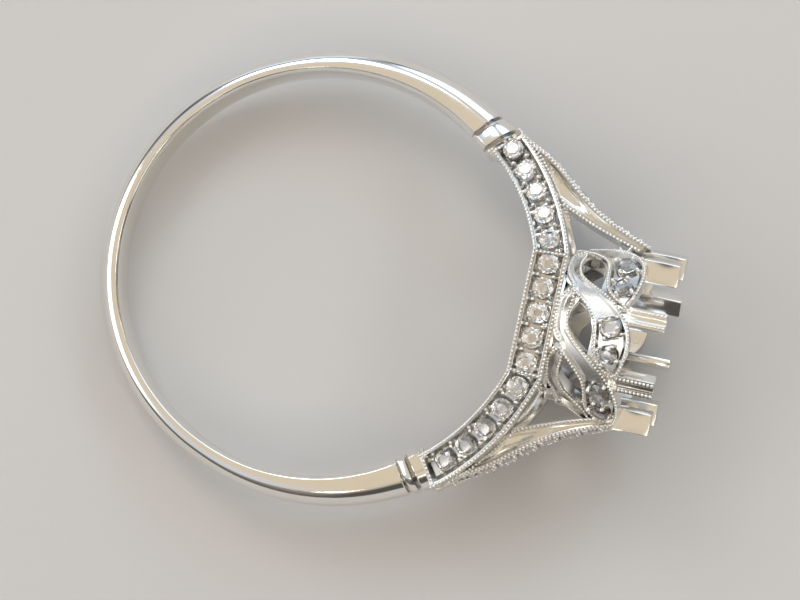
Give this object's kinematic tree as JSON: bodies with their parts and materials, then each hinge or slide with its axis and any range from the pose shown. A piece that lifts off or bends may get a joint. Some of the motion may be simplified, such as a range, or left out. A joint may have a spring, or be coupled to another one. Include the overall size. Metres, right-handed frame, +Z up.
{
  "type": "ring setting",
  "caption": "Split-shoulder ring setting with small stones and a pierced, pronged collet that is open for a round centre stone.",
  "frame": {"origin": "middle of the ring's footprint, on the surface that the ring lies on", "axes": "+Z up, +X from the back of the hoop to the prongs, +Y across the finger hole; the finger hole's axis leans about 7 degrees from +Z towards -X"},
  "size_m": [0.024, 0.0188, 0.0078],
  "materials": {
    "white_gold": "polished",
    "stone": "faceted and polished"
  },
  "bodies": {
    "root": {"mounting": "white_gold", "front_row_stones": "stone", "back_row_stones": "stone", "upper_arm_stones": "stone", "lower_arm_stones": "stone", "collet_stones": "stone"}
  },
  "joints": []
}
